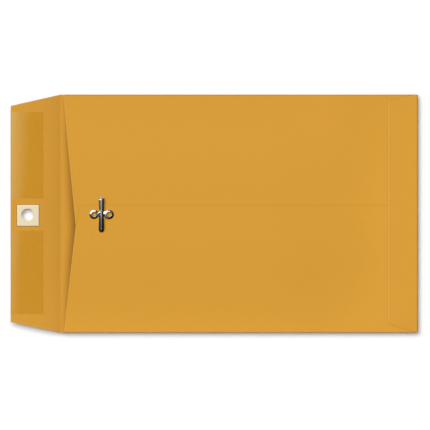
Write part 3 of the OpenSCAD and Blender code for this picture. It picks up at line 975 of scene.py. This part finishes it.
def gum_film(name, node, phase):
    """A gum strip: a thin film on the flap whose outline wanders by sines and whose edges feather out."""
    low, high = node_box(node)
    film = high[Z] - low[Z]
    u = steps(0.0, (GUM_SIDE_SHARE, 2), (1 - GUM_SIDE_SHARE, 16), (1.0, 2))[:, None]
    v = steps(0.0, (GUM_END_SHARE, 2), (1 - GUM_END_SHARE, 60), (1.0, 2))[None, :]
    y = low[Y] + (high[Y] - low[Y]) * v
    wander = GUM_LONG_WANDER * np.sin(y * GUM_LONG_WAVE + phase)
    wander = wander + GUM_SHORT_WANDER * np.sin(y * GUM_SHORT_WAVE + 2 * phase)
    x = low[X] + (high[X] - low[X]) * u + wander * u
    y = y + GUM_END_WANDER * np.sin(x * GUM_END_WAVE + phase) * (2 * v - 1)
    from_side = smooth(0, GUM_SIDE_SHARE, np.minimum(u, 1 - u))
    from_end = smooth(0, GUM_END_SHARE, np.minimum(v, 1 - v))
    feather = GUM_RIM + (1 - GUM_RIM) * from_side * from_end
    base = back_top(x, y)
    top = surface(x, y, base + film * feather)
    piece = slab(name, top, surface(x, y, base), [dried_gum], blank_map(x, y))
    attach(piece, "flap")
    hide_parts(node)


def ring_slab(name, outline, radius, low, high, soften, material):
    """A card with the hole in it: rings from the hole to a square outline over the top, and back underneath.

    low and high are heights over the flap, and soften is how far the top is pressed down at its two edges.
    """
    out = steps(0.0, (CARD_RIM_SHARE, 1), (1 - CARD_RIM_SHARE, 6), (1.0, 1))
    ring_x, ring_y = square_to_circle(*outline, radius, 1 - out)
    base = back_top(ring_x, ring_y)
    dip = np.where((out == 0) | (out == 1), soften, 0)[:, None]
    top = surface(ring_x, ring_y, base + high - dip)
    bottom = surface(ring_x, ring_y, base + low)[::-1]
    points = np.concatenate([top, bottom])
    square_low = [side.min() for side in outline]
    square_high = [side.max() for side in outline]
    edge = to_mm(
        points[..., X] - square_low[X],
        square_high[X] - points[..., X],
        points[..., Y] - square_low[Y],
        square_high[Y] - points[..., Y],
    )
    flat = points.reshape(-1, 3)
    faces = grid_quads(*points.shape[:2], wrap_rows=True, wrap_columns=True)
    piece = make_piece(name, flat, faces, [material], flat[:, :2], edge.ravel())
    piece.data.set_sharp_from_angle(angle=SHARP_ANGLE)
    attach(piece, "flap")
    return piece


def rectangle(low, high, count):
    """Points round a rectangle, anticlockwise from its lowest corner, count steps to each side."""
    share = np.arange(count) / count
    x = np.concatenate([low[X] + (high[X] - low[X]) * share, np.full(count, high[X])])
    x = np.concatenate([x, high[X] - (high[X] - low[X]) * share, np.full(count, low[X])])
    y = np.concatenate([np.full(count, low[Y]), low[Y] + (high[Y] - low[Y]) * share])
    y = np.concatenate([y, np.full(count, high[Y]), high[Y] - (high[Y] - low[Y]) * share])
    return x, y


def hole_patch():
    """The cream patch and the glue film that holds it, both with the flap's hole through them; the film
    reaches past the card as a dark rim of painted shadow.
    """
    card = PATCH_HIGH[Z] - PATCH_LOW[Z]
    # The glue film reaches past the card as a rim of painted shadow
    film_and_shadow_edge = rectangle(PATCH_LOW - PATCH_SHADOW_RIM, PATCH_HIGH + PATCH_SHADOW_RIM, 12)
    film = ring_slab("patch_paste", film_and_shadow_edge, HOLE_R + GLUE_STEP_BACK, 0.0, GLUE, 0.0, patch_glue)
    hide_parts("hole_patch_glue")
    card_edge = rectangle(PATCH_LOW, PATCH_HIGH, 14)
    soften = PATCH_SOFTNESS * card
    patch = ring_slab("hole_patch_card", card_edge, HOLE_R, GLUE, GLUE + card, soften, patch_card)
    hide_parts("hole_patch")


# Clasp sizes, heights over the paper under it; an ear's tilt is an angle and the side it raises, in degrees
EAR_X = 4.7 * MM
EAR_OUT = 2.95 * MM
EAR_HEIGHT = 0.85 * MM
EAR_LIP = 0.3 * MM
EAR_FOOT = 0.18 * MM
EAR_FOOT_Z = 0.05 * MM
EAR_SINK = 0.18 * MM
EAR_SLOPE = 31
LEFT_EAR_TILT = (3, 126)
RIGHT_EAR_TILT = (7, 202)
RIGHT_EAR_STRETCH = 1.2
RIGHT_EAR_LIFT = 0.12 * MM
BURR_IN = 1.4 * MM
BURR_OUT = 1.65 * MM
BURR_PROUD = 0.1 * MM
CLINCH_R = 2.6 * MM
CLINCH = 0.2 * MM
NECK_END = 3.1 * MM
NECK_UPPER = 1.3 * MM
NECK_STATIONS = 49
LEFT_NECK_FALL = 0.75 * MM
LEFT_NECK_LOWER = 2.3 * MM
LEFT_NECK_TOP = 0.7 * MM
LEFT_NECK_SPAN = 4.6 * MM
LEFT_NECK_PEAK = 1.15 * MM
LEFT_NECK_HEIGHT = 0.6 * MM
LEFT_NECK_RISE = 0.7 * MM
RIGHT_NECK_FALL = 0.5 * MM
RIGHT_NECK_LOWER = 1.8 * MM
RIGHT_NECK_START = 0.9 * MM
RIGHT_NECK_Y = (0.6 * MM, 0.2 * MM)
RIGHT_NECK_HEIGHT = 0.65 * MM
RIGHT_NECK_RISE = 0.35 * MM
RIGHT_NECK_RISE_REACH = (0.8 * MM, 2.5 * MM)
RIGHT_NECK_DIP = 0.15 * MM
BOSS_HALF = 0.28 * MM
BOSS_BELOW = 0.03 * MM
BOSS_SAG = 0.08 * MM

# Prong sizes, heights over its bend axis
PRONG_CREST = 0.4 * MM
PRONG_ROOT_RIB = 0.74 * MM
PRONG_RIB = 0.87 * MM
PRONG_WALL = 0.22 * MM
PRONG_LOWEST = -0.66 * MM
PRONG_RIM = 0.04 * MM
PRONG_NOSE = 0.42 * MM
NOSE_POWER = 4
NOSE_START = math.radians(4)
TIP_END = math.radians(87)
TIP_ZONE = (-0.3 * MM, 0.7 * MM)
PRONG_ROOT_HALF = 1.42 * MM
SHANK_START = 1.1 * MM
RIDGE_START = 1.3 * MM
SHANK_END = 2.4 * MM
UPPER_SHANK_HALF = 1.62 * MM
LOWER_SHANK_HALF = 1.55 * MM
UPPER_LEFT_CUT = 0.17
UPPER_KEEL = 1.5
UPPER_KEEL_SHORT = 0.62 * MM
UPPER_TIP_EASE = 0.6
RIDGE_EASE = 0.15
ROOT_EASE = 0.5


def revolve(section_r, section_z, x, y, count=64):
    """Points and quads of a closed section of radii and heights, carried round a vertical axis at x, y."""
    angle = np.linspace(0, 2 * math.pi, count, endpoint=False)
    radius = np.asarray(section_r)[:, None]
    points = surface(x + radius * np.cos(angle), y + radius * np.sin(angle), np.asarray(section_z)[:, None])
    return points.reshape(-1, 3), grid_quads(len(section_r), count, wrap_rows=True, wrap_columns=True)


def join(parts):
    """Several (points, quads) sets as one."""
    offsets = np.cumsum([0] + [len(points) for points, _ in parts[:-1]])
    points = np.concatenate([points for points, _ in parts])
    return points, np.concatenate([quads + offset for (_, quads), offset in zip(parts, offsets)])


def ear_section():
    """Radii and heights of a ring ear, from its bore outwards over the top and back underneath.

    The bore rises steeply to a round lip, from which a cone falls to a small round foot at the outer rim.
    """
    lip_turn = np.radians(np.linspace(180, 90 - EAR_SLOPE, 12))
    foot_turn = np.radians(np.linspace(90 - EAR_SLOPE, 0, 6))
    lip_r = BURR_IN + EAR_LIP + EAR_LIP * np.cos(lip_turn)
    lip_z = EAR_HEIGHT - EAR_LIP + EAR_LIP * np.sin(lip_turn)
    foot_r = EAR_OUT - EAR_FOOT + EAR_FOOT * np.cos(foot_turn)
    foot_z = EAR_FOOT_Z + EAR_FOOT * np.sin(foot_turn)
    radii = np.concatenate([[BURR_IN], lip_r, foot_r, [EAR_OUT]])
    heights = np.concatenate([[0], lip_z, foot_z, [-EAR_SINK]])
    return radii, CROWN_TOP + heights


def tilted_ear(points, faces, ear, tilt, side):
    """An ear turned up a little on one side: z grows by tan(tilt) times the distance towards that side."""
    side = math.radians(side)
    towards = (points[:, X] - ear) * math.cos(side) + (points[:, Y] - CLASP_Y) * math.sin(side)
    points[:, Z] += math.tan(math.radians(tilt)) * towards
    return points, faces


def ridge_fall(t, ease=RIDGE_EASE):
    """Share of a ridge's height lost at t from -1 to 1 across it.

    It is (sqrt(e^2 + t^2) - e) / (sqrt(e^2 + 1) - e), and the larger the ease e, the rounder the crest.
    """
    return (np.sqrt(ease**2 + t**2) - ease) / (np.sqrt(ease**2 + 1) - ease)


def left_neck():
    """The left neck's course: an arch y = peak * cos(pi * (reach - top) / span), its height likewise."""
    reach = np.linspace(NECK_END, 0, NECK_STATIONS)
    arch = np.cos(math.pi * (reach - LEFT_NECK_TOP) / LEFT_NECK_SPAN)
    return -reach, LEFT_NECK_PEAK * arch, LEFT_NECK_HEIGHT + LEFT_NECK_RISE * arch


def right_neck():
    """The right neck's course: a slightly slanting line from the prongs to the ear.

    Its height rises by a smoothstep towards the ear and dips by another at the ear's lip.
    """
    reach = np.linspace(RIGHT_NECK_START, NECK_END, NECK_STATIONS)
    rise = RIGHT_NECK_RISE * smooth(*RIGHT_NECK_RISE_REACH, reach)
    dip = RIGHT_NECK_DIP * smooth(RIGHT_NECK_RISE_REACH[1], NECK_END, reach)
    return reach, np.linspace(*RIGHT_NECK_Y, NECK_STATIONS), RIGHT_NECK_HEIGHT + rise - dip


def clasp_neck(along, sideways, height, upper_fall, lower):
    """Points and quads of a neck whose crest runs along the given course, seen from the clasp's middle.

    Across, both sides fall by ridge_fall, the lower one down to the paper.
    """
    height = height[:, None]
    crest_x = CLASP_X + along[:, None]
    crest_y = CLASP_Y + sideways[:, None]
    step_x = np.gradient(crest_x, axis=0)
    step_y = np.gradient(crest_y, axis=0)
    length = np.hypot(step_x, step_y)
    t = np.linspace(-1, 1, 41)[None, :]
    offset = np.where(t > 0, NECK_UPPER, lower) * t
    fall = np.where(t > 0, upper_fall, height) * ridge_fall(t)
    x = crest_x - offset * step_y / length
    y = crest_y + offset * step_x / length
    return closed_grids(surface(x, y, CROWN_TOP + height - fall), surface(x, y, np.full_like(x, CROWN_TOP)))


def clasp_frame():
    """Two ring ears, their burrs clinched inside, and the necks from the ears to the prongs' roots.

    Both ears are tilted; the right one is also lifted, and drawn out by a share of the distance to its right.
    """
    ear_r, ear_z = ear_section()
    proud = CROWN_TOP + BURR_PROUD
    deep = CROWN_TOP - 2 * PAPER - GLUE
    burr_r = [BURR_IN, BURR_OUT, BURR_OUT, CLINCH_R, CLINCH_R, BURR_IN]
    burr_z = [proud, proud, deep, deep, deep - CLINCH, deep - CLINCH]
    parts = []
    left = CLASP_X - EAR_X
    right = CLASP_X + EAR_X
    for ear in (left, right):
        parts.append(revolve(burr_r, burr_z, ear, CLASP_Y))
    parts.append(tilted_ear(*revolve(ear_r, ear_z, left, CLASP_Y), left, *LEFT_EAR_TILT))
    right_points, right_faces = revolve(ear_r, ear_z + RIGHT_EAR_LIFT, right, CLASP_Y)
    right_points[:, X] += (RIGHT_EAR_STRETCH - 1) * np.clip(right_points[:, X] - right, 0, None)
    parts.append(tilted_ear(right_points, right_faces, right, *RIGHT_EAR_TILT))
    parts.append(clasp_neck(*left_neck(), LEFT_NECK_FALL, LEFT_NECK_LOWER))
    parts.append(clasp_neck(*right_neck(), RIGHT_NECK_FALL, RIGHT_NECK_LOWER))
    points, faces = join(parts)
    piece = make_piece("clasp_frame", points, faces, [clasp_metal])
    piece.data.set_sharp_from_angle(angle=CLASP_SHARP_ANGLE)
    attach(piece, "pouch")
    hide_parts("clasp_base")


def clasp_boss():
    """The boss between the prongs, which carries their ridge across the clasp's middle.

    Its crest sags by a parabola towards the prongs, and its two sides fall by ridge_fall.
    """
    t = np.linspace(-1, 1, 25)[:, None]
    x = CLASP_X + PRONG_ROOT_HALF * t
    along = steps(-BOSS_HALF, (BOSS_HALF, 8))[None, :]
    axis_z = JOINTS["upper_prong_bend"]["pos_m"][Z]
    crest = axis_z + PRONG_CREST - BOSS_BELOW - BOSS_SAG * (along / BOSS_HALF) ** 2
    top = surface(x, CLASP_Y + along, crest - PRONG_ROOT_RIB * ridge_fall(t, ROOT_EASE))
    foot = surface(x, CLASP_Y + along, np.full((1, 1), CROWN_TOP))
    piece = slab("clasp_boss", top, foot, [clasp_metal])
    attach(piece, "pouch")


def prong_blade(name, joint, side, shank, node, keel=1, keel_short=0, tip_ease=RIDGE_EASE, left_cut=0):
    """A prong: a ridged sheet strip from a rounded nose past its bend axis out to a round tip.

    Across, the height falls from the crest by the rib times ridge_fall, which is rounder at the root. Along,
    the width grows from the root to the shank and on to the tip, which ends in a half circle, and the nose
    falls by (1 - share^4)^(1/4). Towards the tip the rib falls by a parabola that ends keel_short before it,
    is keel times steeper on its left, and has the ease tip_ease. left_cut is the share of the left half that
    is cut away at the root, and less towards the tip. The underside is the same form a wall lower.
    """
    pivot = np.array(JOINTS[joint]["pos_m"])
    low, high = node_box(node)
    reach = high[Y] - pivot[Y] if side > 0 else pivot[Y] - low[Y]
    tip_start = reach - PRONG_TIP_HALF
    nose = -PRONG_NOSE * np.cos(np.linspace(NOSE_START, math.pi / 2, 10))
    end = tip_start + PRONG_TIP_HALF * np.sin(np.linspace(0, TIP_END, 18))
    along = np.concatenate([nose[:-1], np.linspace(0, tip_start, 40), end[1:]])[None, :]
    shank_share = np.clip((along - SHANK_END) / (tip_start - SHANK_END), 0, 1)
    t = np.linspace(-1, 1, 33)[:, None]
    t = t * np.where(t < 0, 1 - left_cut * (1 - shank_share), 1)
    tip = np.sqrt(1 - np.clip((along - tip_start) / PRONG_TIP_HALF, 0, 1) ** 2)
    root = (1 - np.clip(-along / PRONG_NOSE, 0, 1) ** NOSE_POWER) ** (1 / NOSE_POWER)
    width = PRONG_ROOT_HALF + (shank - PRONG_ROOT_HALF) * smooth(SHANK_START, SHANK_END, along)
    width = width + (PRONG_TIP_HALF - shank) * shank_share
    past_root = smooth(RIDGE_START, SHANK_END, along)
    towards_tip = smooth(*TIP_ZONE, along - tip_start)
    rib = PRONG_ROOT_RIB + (PRONG_RIB - PRONG_ROOT_RIB) * past_root
    end_fall = np.clip((along - tip_start + keel_short / 2) / (PRONG_TIP_HALF - keel_short / 2), 0, 1) ** 2
    across_rib = np.where(t < 0, 1 + (keel - 1) * towards_tip, 1) * t
    ease = ROOT_EASE + (RIDGE_EASE - ROOT_EASE) * past_root
    ease = ease + (tip_ease - RIDGE_EASE) * towards_tip
    ridge = PRONG_CREST - rib + rib * (1 - end_fall) * root * (1 - ridge_fall(across_rib, ease))
    ridge = np.clip(ridge, PRONG_LOWEST + PRONG_RIM, None)
    across = width * tip * t
    top = surface(across, along, ridge)
    under = surface(across, along, np.clip(ridge - PRONG_WALL, PRONG_LOWEST, None))
    place = np.array([side, side, 1])
    piece = slab(name, top * place + pivot, under * place + pivot, [clasp_metal])
    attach(piece, node)
    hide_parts(node)


back_sheet()
front_sheet("upper_front", upper=True, nodes=("upper_panel", "upper_side_fold"))
front_sheet("lower_front", upper=False, nodes=("lower_panel", "lower_side_fold"))
bottom_end()
glue_films()
gum_film("upper_gum", "upper_gum_strip", phase=0.4)
gum_film("lower_gum", "lower_gum_strip", phase=1.7)
hole_patch()
clasp_frame()
clasp_boss()
prong_blade(
    "upper_prong_blade",
    "upper_prong_bend",
    1,
    UPPER_SHANK_HALF,
    "upper_prong",
    keel=UPPER_KEEL,
    keel_short=UPPER_KEEL_SHORT,
    tip_ease=UPPER_TIP_EASE,
    left_cut=UPPER_LEFT_CUT,
)
prong_blade("lower_prong_blade", "lower_prong_bend", -1, LOWER_SHANK_HALF, "lower_prong")


# Table, light and camera
TABLE_Z = -0.02 * MM
TABLE_RINGS = (0.002, 0.3, 1.0, 6.0)
TABLE_POINTS = 96
TABLE_PALE = (0.95, 0.95, 0.955, 1)
TABLE_SEEN = (0.995, 0.995, 0.995, 1)
TABLE_GLOW = 0.015
LAMP_SIDE = math.radians(130)
LAMP_ELEVATION = math.radians(34)
LAMP_WIDTH = math.radians(24)
SKY_TILT = 0.9
SKY_RISE = (0.42, 0.85)
SKY_LEVEL = (0.037, 0.946)
LENS_MM = 600
SENSOR_MM = 36
FRAMED_WIDTH = 275.2 * MM
FRAMED_MIDDLE = (-15.65 * MM, -0.9 * MM, 2 * MM)


def table_top():
    """A wide pale disc under the envelope. Camera, glossy and transmission rays see it lifted to white."""
    material, tree, shader = new_material("pale_table")
    rays = tree.nodes.new("ShaderNodeLightPath").outputs
    seen = calc(tree, "MAXIMUM", rays["Is Camera Ray"], rays["Is Glossy Ray"])
    seen = calc(tree, "MAXIMUM", seen, rays["Is Transmission Ray"])
    put(tree, shader.inputs["Base Color"], mix(tree, seen, TABLE_PALE, TABLE_SEEN))
    put(tree, shader.inputs["Emission Strength"], calc(tree, "MULTIPLY", seen, TABLE_GLOW))
    shader.inputs["Emission Color"].default_value = (1, 1, 1, 1)
    shader.inputs["Roughness"].default_value = 1.0
    shader.inputs["Specular IOR Level"].default_value = 0.0
    angle = np.linspace(0, 2 * math.pi, TABLE_POINTS, endpoint=False)
    radius = np.array(TABLE_RINGS)[:, None]
    points = surface(radius * np.cos(angle), radius * np.sin(angle), np.full((1, 1), TABLE_Z))
    faces = grid_quads(len(TABLE_RINGS), TABLE_POINTS, wrap_columns=True)
    floor = make_piece("table_top", points.reshape(-1, 3), faces, [material])


def sky_dome():
    """Soft studio sky: bright overhead and dim at the horizon, by a smoothstep of the elevation's sine.

    It is brighter towards the lamps than away from them: level * (1 + tilt * direction . lamp side).
    """
    world = bpy.data.worlds.new("sky_dome")
    world.use_nodes = True
    tree = world.node_tree
    parts = split(tree, tree.nodes.new("ShaderNodeTexCoord").outputs["Generated"])
    level = ramp(tree, parts["Z"], *SKY_RISE, *SKY_LEVEL)
    tilt_x = calc(tree, "MULTIPLY", parts["X"], SKY_TILT * math.cos(LAMP_SIDE))
    tilt_y = calc(tree, "MULTIPLY", parts["Y"], SKY_TILT * math.sin(LAMP_SIDE))
    tilt = calc(tree, "ADD", calc(tree, "ADD", tilt_x, tilt_y), 1.0)
    background = tree.nodes["Background"].inputs
    background["Color"].default_value = (1, 1, 1, 1)
    put(tree, background["Strength"], calc(tree, "MULTIPLY", level, tilt))
    bpy.context.scene.world = world


def window_lamps():
    """Four broad soft lamps side by side at the upper left.

    Each has its azimuth in degrees and the brightness that it alone gives a white table, where 1 is white.
    """
    lamps = (
        ("window_1", 76, 0.07),
        ("window_2", 103, 0.115),
        ("window_3", 130, 0.13),
        ("window_4", 157, 0.135),
    )
    level, rise = math.cos(LAMP_ELEVATION), math.sin(LAMP_ELEVATION)
    for name, azimuth, brightness in lamps:
        lamp = bpy.data.lights.new(name, "SUN")
        lamp.energy = brightness * math.pi / rise
        lamp.angle = LAMP_WIDTH
        turn = math.radians(azimuth)
        source = Vector((level * math.cos(turn), level * math.sin(turn), rise))
        holder = bpy.data.objects.new(name, lamp)
        holder.rotation_euler = source.to_track_quat("Z", "Y").to_euler()
        bpy.context.scene.collection.objects.link(holder)


def straight_down_camera():
    """A long lens straight over the envelope, as far off as the framed width asks: width * lens / sensor."""
    lens = bpy.data.cameras.new("straight_down")
    lens.lens = LENS_MM
    lens.sensor_width = SENSOR_MM
    view = bpy.data.objects.new("straight_down", lens)
    view.location = Vector(FRAMED_MIDDLE) + Vector((0, 0, FRAMED_WIDTH * LENS_MM / SENSOR_MM))
    bpy.context.scene.collection.objects.link(view)
    bpy.context.scene.camera = view


table_top()
sky_dome()
window_lamps()
straight_down_camera()
bpy.context.scene.view_settings.view_transform = "Standard"
